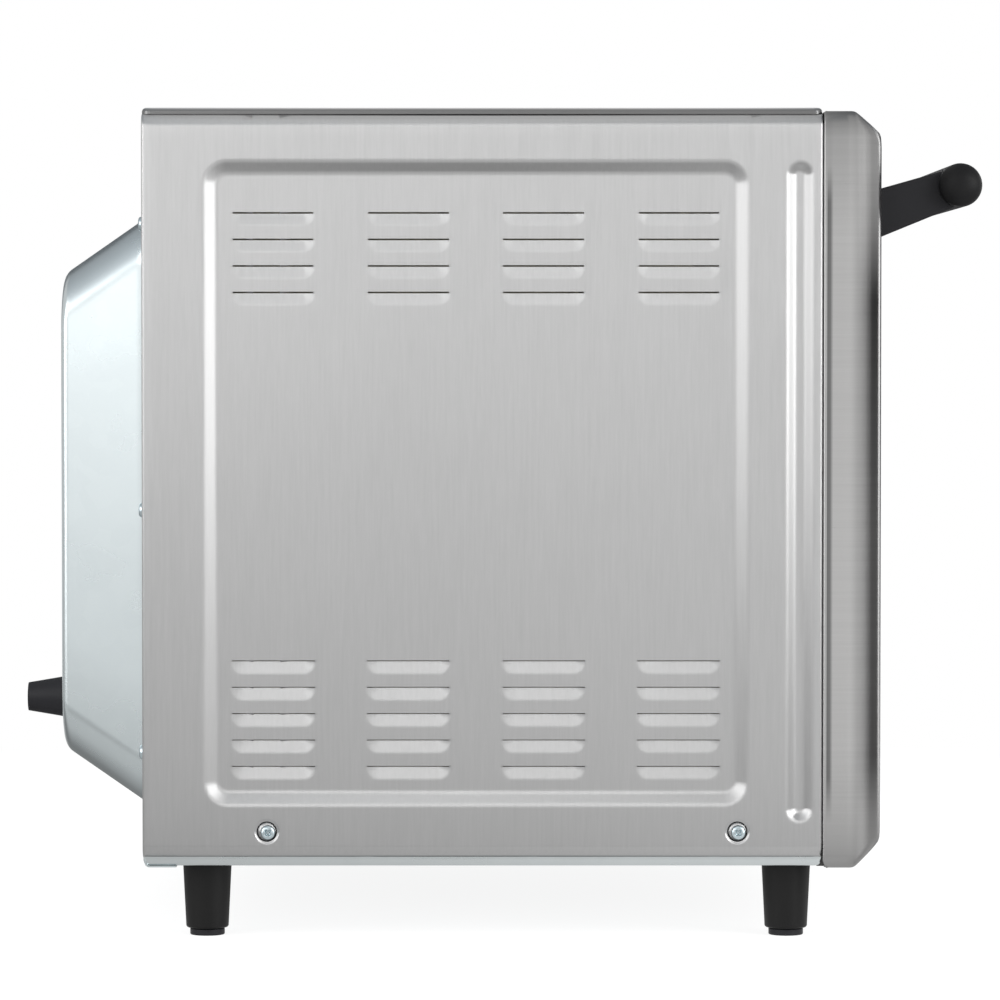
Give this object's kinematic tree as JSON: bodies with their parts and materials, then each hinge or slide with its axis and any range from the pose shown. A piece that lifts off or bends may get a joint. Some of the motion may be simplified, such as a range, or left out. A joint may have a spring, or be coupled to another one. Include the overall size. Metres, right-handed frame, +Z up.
{
  "type": "electric countertop oven",
  "caption": "Free-standing electric convection oven with pressed stainless side panels, a drop-down glass door with a bar handle, a rear motor cover, wire racks and feet.",
  "frame": {"origin": "centre of the whole oven's box in plan, on the surface under its feet", "axes": "+Z up; -Y out of the front, where the door and the handle are; +X from the door side on the left towards the control panel on the right, as seen from in front"},
  "size_m": [0.4816, 0.468, 0.3995],
  "materials": {
    "brushed_stainless": "vertical brushed grain",
    "galvanised": "bright galvanised sheet",
    "cavity_steel": "dull stainless",
    "dark_steel": "oxidised steel",
    "zinc_screws": "bright zinc plating",
    "chrome_wire": "plated wire",
    "fan_aluminium": "mill finish",
    "motor_iron": "laminated core",
    "copper_winding": "enamelled wire",
    "bulb_copper": "drawn copper tube",
    "black_plastic": "fine satin moulding",
    "grey_plastic": "moulded thermoset",
    "gasket_rubber": "matt silicone",
    "mineral_wool": "loose blanket",
    "dark_glass": "tinted toughened glass",
    "clear_glass": "clear toughened glass",
    "amber_lens": "translucent amber"
  },
  "bodies": {
    "cabinet": {"base_pan": "galvanised", "base_rails": "galvanised", "back_panel": "galvanised", "motor_cover": "galvanised", "side_panel_left": "brushed_stainless", "side_panel_right": "brushed_stainless", "top_panel": "brushed_stainless", "front_frame": "brushed_stainless", "control_panel": "brushed_stainless", "side_screws": "zinc_screws", "rear_screws": "zinc_screws", "hinge_brackets": "dark_steel", "foot_front_left": "black_plastic", "foot_front_right": "black_plastic", "foot_rear_left": "black_plastic", "foot_rear_right": "black_plastic", "cord_gland": "black_plastic", "cavity_liner": "cavity_steel", "fan_baffle": "cavity_steel", "insulation": "mineral_wool", "door_gasket": "gasket_rubber", "ring_heater": "dark_steel", "rack_guide_left": "chrome_wire", "rack_guide_right": "chrome_wire", "motor_core": "motor_iron", "motor_coil": "copper_winding", "motor_brackets": "galvanised", "timer_body": "grey_plastic", "thermostat_body": "grey_plastic", "thermostat_bulb": "bulb_copper", "indicator_lamps": "amber_lens", "high_limit_cutout": "grey_plastic", "terminal_block": "grey_plastic"},
    "door": {"door_skin": "brushed_stainless", "door_inner_panel": "brushed_stainless", "door_outer_glass": "dark_glass", "door_inner_glass": "clear_glass", "door_screws": "zinc_screws", "handle_arm_left": "black_plastic", "handle_arm_right": "black_plastic", "handle_bar": "black_plastic", "handle_end_caps": "black_plastic", "hinge_lugs": "dark_steel", "hinge_pins": "dark_steel"},
    "rack_lower": {"wire_rack_lower": "chrome_wire"},
    "rack_middle": {"wire_rack_middle": "chrome_wire"},
    "rack_upper": {"wire_rack_upper": "chrome_wire"},
    "fan": {"convection_fan": "fan_aluminium", "fan_nut": "zinc_screws", "motor_shaft": "dark_steel", "motor_rotor": "dark_steel", "cooling_fan": "fan_aluminium"},
    "timer_control": {"timer_spindle": "dark_steel", "timer_knob": "black_plastic"},
    "thermostat_control": {"thermostat_spindle": "dark_steel", "thermostat_knob": "black_plastic"},
    "insert_front_left": {"levelling_insert_front_left": "black_plastic"},
    "insert_front_right": {"levelling_insert_front_right": "black_plastic"},
    "insert_rear_left": {"levelling_insert_rear_left": "black_plastic"},
    "insert_rear_right": {"levelling_insert_rear_right": "black_plastic"}
  },
  "joints": [
    {"name": "door_hinge", "type": "hinge", "parent": "cabinet", "child": "door", "pos_m": [0, -0.1631, 0.0383], "axis": [1, 0, 0], "range_deg": [0, 83], "stiffness_Nm_per_rad": 2.5, "springref_deg": -17.19},
    {"name": "rack_lower_slide", "type": "slide", "parent": "cabinet", "child": "rack_lower", "axis": [0, -1, 0], "range_m": [0, 0.12]},
    {"name": "rack_middle_slide", "type": "slide", "parent": "cabinet", "child": "rack_middle", "axis": [0, -1, 0], "range_m": [0, 0.12]},
    {"name": "rack_upper_slide", "type": "slide", "parent": "cabinet", "child": "rack_upper", "axis": [0, -1, 0], "range_m": [0, 0.12]},
    {"name": "fan_spin", "type": "hinge", "parent": "cabinet", "child": "fan", "pos_m": [-0.043, 0, 0.215], "axis": [0, 1, 0], "continuous": true},
    {"name": "timer_turn", "type": "hinge", "parent": "cabinet", "child": "timer_control", "pos_m": [0.192, -0.19, 0.26191], "axis": [0, 1, 0], "range_deg": [0, 300]},
    {"name": "thermostat_turn", "type": "hinge", "parent": "cabinet", "child": "thermostat_control", "pos_m": [0.192, -0.19, 0.15211], "axis": [0, 1, 0], "range_deg": [0, 270]},
    {"name": "insert_front_left_screw", "type": "slide", "parent": "cabinet", "child": "insert_front_left", "axis": [0, 0, -1], "range_m": [0, 0.01]},
    {"name": "insert_front_right_screw", "type": "slide", "parent": "cabinet", "child": "insert_front_right", "axis": [0, 0, -1], "range_m": [0, 0.01]},
    {"name": "insert_rear_left_screw", "type": "slide", "parent": "cabinet", "child": "insert_rear_left", "axis": [0, 0, -1], "range_m": [0, 0.01]},
    {"name": "insert_rear_right_screw", "type": "slide", "parent": "cabinet", "child": "insert_rear_right", "axis": [0, 0, -1], "range_m": [0, 0.01]}
  ],
  "couplings": [
    {"joint": "rack_lower_slide", "follows": "door_hinge", "m_per_rad": 0.08},
    {"joint": "rack_middle_slide", "follows": "door_hinge", "m_per_rad": 0.08},
    {"joint": "rack_upper_slide", "follows": "door_hinge", "m_per_rad": 0.08}
  ]
}
